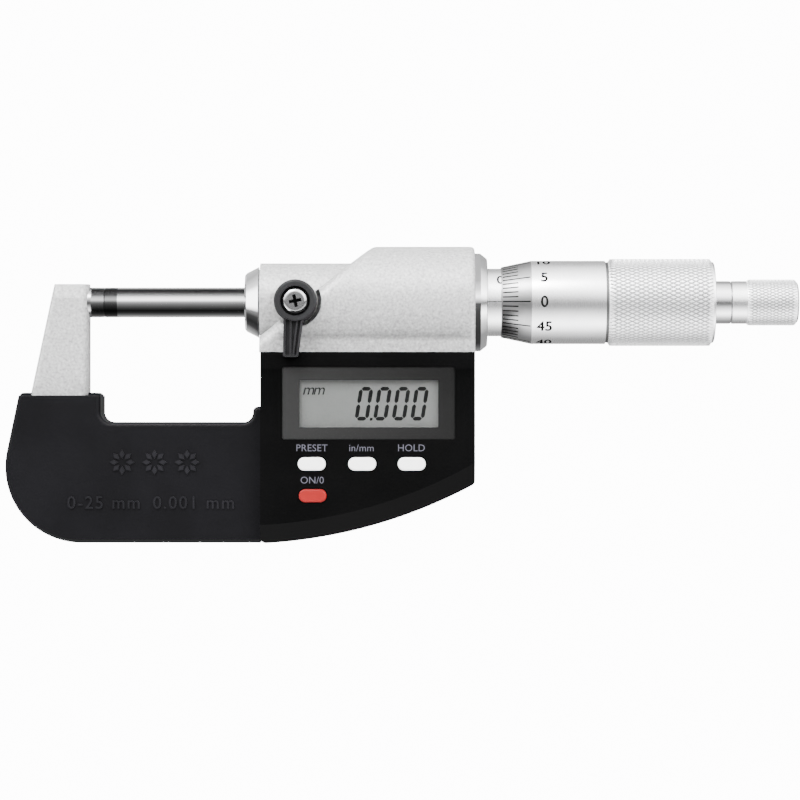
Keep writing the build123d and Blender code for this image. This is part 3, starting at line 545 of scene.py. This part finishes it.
def studio_world():
    """Soft white surroundings that change with elevation about the X axis, as SKY says."""
    world = bpy.data.worlds.new("studio")
    world.use_nodes = True
    bpy.context.scene.world = world
    tree = world.node_tree
    background = tree.nodes["Background"]
    coords = tree.nodes.new("ShaderNodeTexCoord")
    split = tree.nodes.new("ShaderNodeSeparateXYZ")
    tree.links.new(coords.outputs["Generated"], split.inputs["Vector"])
    forward = tree.nodes.new("ShaderNodeMath")
    forward.operation = "MULTIPLY"
    forward.inputs[1].default_value = -1
    tree.links.new(split.outputs["Y"], forward.inputs[0])
    turn = tree.nodes.new("ShaderNodeMath")
    turn.operation = "ARCTAN2"
    tree.links.new(split.outputs["Z"], turn.inputs[0])
    tree.links.new(forward.outputs["Value"], turn.inputs[1])
    fit = tree.nodes.new("ShaderNodeMapRange")
    fit.inputs["From Min"].default_value = -math.pi
    fit.inputs["From Max"].default_value = math.pi
    tree.links.new(turn.outputs["Value"], fit.inputs["Value"])
    ramp = tree.nodes.new("ShaderNodeValToRGB")
    tree.links.new(fit.outputs["Result"], ramp.inputs["Fac"])
    elements = ramp.color_ramp.elements
    while len(elements) < len(SKY):
        elements.new(0.5)
    for element, (angle, level) in zip(elements, SKY):
        element.position = (angle + 180) / 360
        element.color = (level / SKY_TOP, level / SKY_TOP, level / SKY_TOP, 1)
    tree.links.new(ramp.outputs["Color"], background.inputs["Color"])
    background.inputs["Strength"].default_value = SKY_TOP


studio_world()


def area_light(name, location, target, size, power):
    """A square soft box aimed at a point."""
    data = bpy.data.lights.new(name, "AREA")
    data.shape = "RECTANGLE"
    data.size, data.size_y = size
    data.energy = power
    light = bpy.data.objects.new(name, data)
    light.location = location
    aim = Vector(target) - Vector(location)
    light.rotation_euler = aim.to_track_quat("-Z", "Y").to_euler()
    bpy.context.scene.collection.objects.link(light)
    return light


area_light("key", (-0.30, -0.60, 0.80), CENTRE, (0.6, 0.4), 22.0)
area_light("fill", (0.55, -0.75, 0.35), CENTRE, (0.6, 0.6), 6.0)


def plane(name, corners, material):
    """A flat backdrop that the camera sees but the object neither reflects nor is lit by."""
    mesh = bpy.data.meshes.new(name)
    mesh.from_pydata(corners, [], [(0, 1, 2, 3)])
    mesh.materials.append(material)
    item = bpy.data.objects.new(name, mesh)
    bpy.context.scene.collection.objects.link(item)
    item.visible_glossy = False
    item.visible_diffuse = False
    return item


def backdrop_white():
    material = bpy.data.materials.new("backdrop")
    material.use_nodes = True
    shader = material.node_tree.nodes["Principled BSDF"]
    shader.inputs["Base Color"].default_value = (0.9, 0.9, 0.9, 1)
    shader.inputs["Roughness"].default_value = 0.9
    shader.inputs["Emission Color"].default_value = (1, 1, 1, 1)
    shader.inputs["Emission Strength"].default_value = 10.0
    return material


BACKDROP = backdrop_white()
ROOM = 6
WALL_Y = 1.2
FLOOR_Z = -0.45
plane(
    "wall",
    [(-ROOM, WALL_Y, -ROOM), (ROOM, WALL_Y, -ROOM), (ROOM, WALL_Y, ROOM), (-ROOM, WALL_Y, ROOM)],
    BACKDROP,
)
plane(
    "floor",
    [(-ROOM, -ROOM, FLOOR_Z), (ROOM, -ROOM, FLOOR_Z), (ROOM, WALL_Y, FLOOR_Z), (-ROOM, WALL_Y, FLOOR_Z)],
    BACKDROP,
)
square = [(-ROOM, -ROOM), (ROOM, -ROOM), (ROOM, ROOM), (-ROOM, ROOM)]
for name, corners in (
    ("wall_left", [(-ROOM, y, z) for y, z in square]),
    ("wall_right", [(ROOM, y, z) for y, z in square]),
    ("wall_front", [(x, -ROOM, z) for x, z in square]),
    ("ceiling", [(x, y, ROOM) for x, y in square]),
):
    plane(name, corners, BACKDROP).visible_shadow = False


def flag(name, x_range, line, levels):
    """A card that only reflections see, to shade the polished metal.

    It runs along X between points (y, z) on line, and levels are its brightness at them.
    """
    mesh = bpy.data.meshes.new(name)
    vertices = [(x, y, z) for y, z in line for x in x_range]
    faces = [(2 * k, 2 * k + 1, 2 * k + 3, 2 * k + 2) for k in range(len(line) - 1)]
    mesh.from_pydata(vertices, [], faces)
    shades = mesh.color_attributes.new("level", "FLOAT_COLOR", "POINT")
    for k, level in enumerate(levels):
        for side in (0, 1):
            shades.data[2 * k + side].color = (level, level, level, 1)
    material = bpy.data.materials.new(name)
    material.use_nodes = True
    shader = material.node_tree.nodes["Principled BSDF"]
    shader.inputs["Base Color"].default_value = (0, 0, 0, 1)
    shader.inputs["Specular IOR Level"].default_value = 0
    shader.inputs["Emission Strength"].default_value = 1
    shade = material.node_tree.nodes.new("ShaderNodeVertexColor")
    shade.layer_name = "level"
    material.node_tree.links.new(shade.outputs["Color"], shader.inputs["Emission Color"])
    mesh.materials.append(material)
    item = bpy.data.objects.new(name, mesh)
    bpy.context.scene.collection.objects.link(item)
    item.visible_camera = False
    item.visible_diffuse = False
    item.visible_shadow = False
    item.visible_transmission = False


def curved_flag(name, x_range, radius, shading):
    """A flag bent around the spindle axis. shading lists (angle, level), 0 degrees facing -Y."""
    line = []
    levels = []
    for (low, dark), (high, light) in zip(shading, shading[1:]):
        for step in range(4):
            angle = math.radians(low + (high - low) * step / 4)
            line.append((-radius * math.cos(angle), radius * math.sin(angle)))
            levels.append(dark + (light - dark) * step / 4)
    flag(name, x_range, line, levels)


flag("flag_under_hub", (0.034, 0.0800), [(-0.030, -0.0145), (0.012, -0.0145)], [0.04, 0.02])
curved_flag("flag_spindle", (-0.003, BUSH_START * MM), 0.0042, SPINDLE_SHADING)
curved_flag("flag_bush", (0.0220, 0.0330), 0.0086, BUSH_SHADING)
curved_flag("flag_flange", (0.0801, 0.0817), 0.0113, FLANGE_SHADING)


# ---- Thimble, its grip and the ratchet knob, in place of the CAD's plain turnings -------------

low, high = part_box("thimble_grip")
grip = knurl(
    "thimble_knurl", (low.x, high.x), (COLLAR_R + 0.005) * MM, high.z, 0.24 * MM, 66, 1.97 * MM,
    0.5 * MM, KNURL, "spindle",
)
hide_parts("thimble_grip")


def lathe(name, outline, steps, material, body):
    """Turns a closed outline of (x, radius) points in millimetres about the spindle axis."""
    vertices, faces = [], []
    count = len(outline)
    for j in range(steps):
        vertices += [around(x * MM, r * MM, j * TAU / steps) for x, r in outline]
    for j in range(steps):
        n = (j + 1) % steps
        for k in range(count):
            m = (k + 1) % count
            faces.append((j * count + k, j * count + m, n * count + m, n * count + k))
    piece = new_piece(name, vertices, faces, material, body, smooth=True)
    piece.data.set_sharp_from_angle(angle=math.radians(28))
    return piece


thimble = lathe(
    "thimble_barrel",
    [
        (THIMBLE_START, 7.41), (94.0, 7.41), (95.0, 8.0), (126.0, 8.0), (127.0, 3.53), (131.5, 3.0),
        (THIMBLE_END, 3.0), (THIMBLE_END, RIM_R - 0.3), (THIMBLE_END - 0.1, RIM_R - 0.1),
        (THIMBLE_END - 0.3, RIM_R), (THIMBLE_END - 0.5, RIM_R), (THIMBLE_END - 0.55, COLLAR_R),
        (COLLAR_START + 0.05, COLLAR_R), (COLLAR_START, COLLAR_R + 0.05),
        (COLLAR_START, THIMBLE_R - 0.05), (COLLAR_START - 0.05, THIMBLE_R),
        (BEVEL_END, THIMBLE_R), (THIMBLE_START + 0.08, 7.66), (THIMBLE_START, 7.6),
    ],
    240, SATIN, "spindle",
)
thimble.data.materials.append(BEVEL)
thimble.data.materials.append(GROOVE_SHADE)
# material 1 is the bevel; material 2 darkens the bare collar between barrel and grip as painted shade of
# the groove
for polygon in thimble.data.polygons:
    x, radius = polygon.center.x / MM, polygon.center.yz.length / MM
    if x < BEVEL_END:
        polygon.material_index = 1
    elif COLLAR_START - 0.05 < x < THIMBLE_END - 1 and radius > COLLAR_R - 0.35:
        polygon.material_index = 2
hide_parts("thimble")

knob = lathe(
    "ratchet_knob_core",
    [
        (KNOB_START, 3.6), (145.5, 3.6), (145.5, 1.65), (147.5, 1.65), (147.5, 2.8),
        (KNOB_END - 0.2, 2.8), (KNOB_END, 3.0), (KNOB_END, 4.0), (KNOB_END - 0.15, 4.3),
        (KNOB_END - 0.5, 4.55), (139.25, 4.55), (139.2, 4.65), (KNOB_START + 0.15, 4.65),
        (KNOB_START, 4.5),
    ],
    96, SATIN, "ratchet",
)
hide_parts("ratchet_knob")
knob_grip = knurl(
    "ratchet_knurl", (139.3 * MM, (KNOB_END - 0.4) * MM), 4.5 * MM, 5.0 * MM, 0.19 * MM, 45, 1.49 * MM,
    0.55 * MM, KNURL, "ratchet",
)


# ---- Painted shade on the floor of the lock screw's cross recess ------------------------------

RECESS_DEPTH = 1.47 * MM
screw_low, screw_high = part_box("lock_screw")
CROSS_AT = Vector(((screw_low.x + screw_high.x) / 2, screw_low.y + RECESS_DEPTH, 0))


def cross_floor(name, long, wide, turn):
    """A thin plus-shaped plate that lies in the recess, as painted shade on its floor."""
    thick = 0.02 * MM
    a, b = long / 2, wide / 2
    outline = [(b, a), (b, b), (a, b), (a, -b), (b, -b), (b, -a), (-b, -a), (-b, -b), (-a, -b),
               (-a, b), (-b, b), (-b, a)]
    cosine, sine = math.cos(turn), math.sin(turn)
    points = [(x * cosine - z * sine, x * sine + z * cosine) for x, z in outline]
    vertices = [CROSS_AT + Vector((x, y, z)) for y in (0, thick) for x, z in points]
    count = len(outline)
    faces = [tuple(range(count)), tuple(range(2 * count - 1, count - 1, -1))]
    faces += [((k + 1) % count, k, count + k, count + (k + 1) % count) for k in range(count)]
    return new_piece(name, vertices, faces, INK_AND_SHADE, "lock_lever")


# painted shade: the near-black plate stands for the shadow at the bottom of the cross recess
recess = cross_floor("lock_screw_recess_shade", 2.66 * MM, 0.68 * MM, math.radians(12))


# ---- Graduations -------------------------------------------------------------------------

DIVISIONS = 50
LIFT = 0.012 * MM
SINK = 0.02 * MM


def thimble_radius(x):
    """The thimble's outside radius at x, on its bevel and on its barrel."""
    share = (x / MM - THIMBLE_START) / (BEVEL_END - THIMBLE_START)
    share = min(max(share, 0.0), 1.0)
    return (THIMBLE_EDGE + share * (THIMBLE_R - THIMBLE_EDGE)) * MM


def stroke(vertices, faces, x_range, angle, width, radius_at, lift, sink):
    """A thin inlaid line along the axis, on a round surface whose radius may change."""
    start = len(vertices)
    for height in (-sink, lift):
        for x, side in ((x_range[0], -1), (x_range[1], -1), (x_range[1], 1), (x_range[0], 1)):
            radius = radius_at(x)
            vertices.append(around(x, radius + height, angle + side * width / 2 / radius))
    faces += box_faces(start)


vertices, faces = [], []
for division in range(DIVISIONS):
    length = 5.9 if division % 5 == 0 else 3.3
    stroke(
        vertices, faces, ((THIMBLE_START + 0.25) * MM, (THIMBLE_START + 0.3 + length) * MM),
        division * TAU / DIVISIONS, 0.28 * MM, thimble_radius, LIFT, SINK,
    )
marks = new_piece("thimble_lines", vertices, faces, INK_AND_SHADE, "spindle")

for value in range(0, DIVISIONS, 5):
    digits = flat_text(str(value), 2.35 * MM, bold=0.08 * MM)
    slice_along(digits, 1, 0.4 * MM)
    number = raised(
        f"thimble_number_{value}", digits,
        on_cylinder(95.2 * MM, value * TAU / DIVISIONS, THIMBLE_R * MM), INK_AND_SHADE, "spindle", LIFT, SINK,
    )

# the sleeve's index line, its millimetres above and half millimetres below
vertices, faces = [], []
sleeve_radius = SLEEVE_R * MM
stroke(
    vertices, faces, (SLEEVE_START * MM, SLEEVE_END * MM), 0.0, 0.17 * MM, lambda x: sleeve_radius,
    LIFT, SINK,
)
for half in range(2 * TRAVEL + 1):
    x = (THIMBLE_START + half / 2) * MM
    whole = half % 2 == 0
    reach = 2.6 if half % 10 == 0 else 1.9
    first, last = (0.25, reach) if whole else (-reach, -0.25)
    points = [first + (last - first) * i / 4 for i in range(5)]
    for lower, upper in zip(points, points[1:]):
        start = len(vertices)
        for height in (-SINK, LIFT):
            for z, side in ((lower, -1), (lower, 1), (upper, 1), (upper, -1)):
                vertices.append(
                    around(x + side * 0.065 * MM, sleeve_radius + height, z * MM / sleeve_radius)
                )
        faces += box_faces(start)
marks = new_piece("sleeve_lines", vertices, faces, INK_AND_SHADE, "frame")

for value in range(0, TRAVEL + 1, 5):
    digits = flat_text(str(value), 2.2 * MM, bold=0.06 * MM)
    slice_along(digits, 1, 0.4 * MM)
    above_line = 5.2 * MM / sleeve_radius
    number = raised(
        f"sleeve_number_{value}", digits,
        on_cylinder((THIMBLE_START - 0.25 + value) * MM, above_line, sleeve_radius),
        INK_AND_SHADE, "frame", LIFT, SINK,
    )


# ---- Display -----------------------------------------------------------------------------

window_low, window_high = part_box("display_window")
LCD_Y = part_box("lcd_panel")[0].y
VIEW = (42.6, 72.3, -27.05, -16.95)
EDGE = 0.1 * MM


def frame_ring(name, outer, inner, y_front, y_back, material, body):
    """A flat rectangular ring that faces -Y. Outlines are (left, right, low, high)."""
    vertices, faces = [], []
    for y in (y_front, y_back):
        for left, right, low, high in (outer, inner):
            vertices += [(left, y, low), (right, y, low), (right, y, high), (left, y, high)]
    for k in range(4):
        n = (k + 1) % 4
        faces.append((k, n, 4 + n, 4 + k))
        faces.append((8 + n, 8 + k, 12 + k, 12 + n))
        faces.append((n, k, 8 + k, 8 + n))
        faces.append((4 + k, 4 + n, 12 + n, 12 + k))
    return new_piece(name, vertices, faces, material, body)


mask = frame_ring(
    "window_print",
    (window_low.x + EDGE, window_high.x - EDGE, window_low.z + EDGE, window_high.z - EDGE),
    [side * MM for side in VIEW],
    window_low.y + 0.12 * MM, window_low.y + 0.18 * MM, WINDOW_PRINT_PAINTED_LIGHT, "frame",
)

SLANT = math.tan(math.radians(9))
DIGIT_LOW = -25.60
DIGIT_LEFT = 54.3
DIGIT_PITCH = 3.98
POINT_LEFT = 57.6
POINT_SIZE = 0.55


def lcd_digit(vertices, faces, left, low, width, height, stroke_width):
    """One seven-segment zero, slanted, from six pointed bars."""
    t = stroke_width
    gap = 0.10 * MM
    mid = height / 2
    bars = [
        ((t / 2 + gap, height - t / 2), (width - t / 2 - gap, height - t / 2)),
        ((width - t / 2, height - t / 2 - gap), (width - t / 2, mid + gap)),
        ((width - t / 2, mid - gap), (width - t / 2, t / 2 + gap)),
        ((width - t / 2 - gap, t / 2), (t / 2 + gap, t / 2)),
        ((t / 2, t / 2 + gap), (t / 2, mid - gap)),
        ((t / 2, mid + gap), (t / 2, height - t / 2 - gap)),
    ]
    for (x0, z0), (x1, z1) in bars:
        along = Vector((x1 - x0, z1 - z0)).normalized()
        side = Vector((-along.y, along.x)) * t / 2
        ends = (Vector((x0, z0)), Vector((x1, z1)))
        outline = [
            ends[0], ends[0] + along * t / 2 + side, ends[1] - along * t / 2 + side,
            ends[1], ends[1] - along * t / 2 - side, ends[0] + along * t / 2 - side,
        ]
        lcd_print(vertices, faces, [(left + p.x, low + p.y) for p in outline], low)


def lcd_print(vertices, faces, outline, low):
    """Adds a flat printed shape just in front of the display glass."""
    start = len(vertices)
    count = len(outline)
    for y in (LCD_Y - 0.03 * MM, LCD_Y - 0.005 * MM):
        vertices += [(x + (z - low) * SLANT, y, z) for x, z in outline]
    faces.append(tuple(range(start, start + count)))
    faces.append(tuple(range(start + 2 * count - 1, start + count - 1, -1)))
    for k in range(count):
        n = (k + 1) % count
        faces.append((start + n, start + k, start + count + k, start + count + n))


vertices, faces = [], []
for place in range(4):
    left = (DIGIT_LEFT + DIGIT_PITCH * place) * MM
    lcd_digit(vertices, faces, left, DIGIT_LOW * MM, 3.0 * MM, 7.2 * MM, 0.80 * MM)
point = [
    ((POINT_LEFT + across * POINT_SIZE) * MM, (DIGIT_LOW + up * POINT_SIZE) * MM)
    for across, up in ((0, 0), (1, 0), (1, 1), (0, 1))
]
lcd_print(vertices, faces, point, DIGIT_LOW * MM)
digits = new_piece("lcd_digits", vertices, faces, LCD_INK, "frame")

unit = flat_text("mm", 2.3 * MM, slant=0.25, tight=0.80)
unit_print = raised(
    "lcd_unit", unit, on_front(45.65 * MM, -18.9 * MM, LCD_Y - 0.005 * MM), LCD_INK, "frame",
    0.025 * MM, 0.0,
)


# ---- Printed labels over the keys -----------------------------------------------------------

LABEL_HEIGHT = 1.45
case_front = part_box("housing_front")[0].y
for name, words, x, z in (
    ("label_preset", "PRESET", 45.25, -31.45),
    ("label_unit", "in/mm", 55.85, -31.45),
    ("label_hold", "HOLD", 66.55, -31.45),
    ("label_power", "ON/0", 45.3, -38.35),
):
    text = flat_text(words, LABEL_HEIGHT * MM, tight=1.02)
    place = on_front(x * MM, z * MM, case_front)
    label = raised(name, text, place, LABEL, "frame", 0.01 * MM, SINK)


# ---- Raised words and a plain motif on the front shell ---------------------------------------

shell_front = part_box("shell_front")[0].y
EMBOSS = 0.28 * MM
EMBOSS_ROOT = 0.05 * MM
WORDS_HEIGHT = 2.65
WORDS_Z = -43.3
MOTIF_Z = -34.6


def embossed(name, work, x, z):
    """Raises a flat shape from the shell's front, centred at x and z in millimetres, in a lighter black
    as a painted highlight.
    """
    place = on_front(x * MM, z * MM, shell_front)
    piece = raised(name, work, place, RAISED_HIGHLIGHT, "frame", EMBOSS, EMBOSS_ROOT)


for name, words, x in (("shell_range", "0-25 mm", 0.2), ("shell_step", "0.001 mm", 19.6)):
    embossed(name, flat_text(words, WORDS_HEIGHT * MM, tight=1.15), x, WORDS_Z)


def diamond_ring(radius, thickness, count):
    """A flat ring of small diamonds, a plain ornament with no meaning."""
    work = bmesh.new()
    for k in range(count):
        angle = k * TAU / count
        centre = Vector((radius * math.cos(angle), radius * math.sin(angle), 0))
        out = Vector((math.cos(angle), math.sin(angle), 0)) * thickness
        side = Vector((-math.sin(angle), math.cos(angle), 0)) * thickness * 0.6
        corners = [centre + out, centre + side, centre - out, centre - side]
        work.faces.new([work.verts.new(c) for c in corners])
    return work


for index, x in enumerate((4.2, 11.2, 18.2)):
    embossed(f"shell_motif_{index}", diamond_ring(1.75 * MM, 0.95 * MM, 8), x, MOTIF_Z)
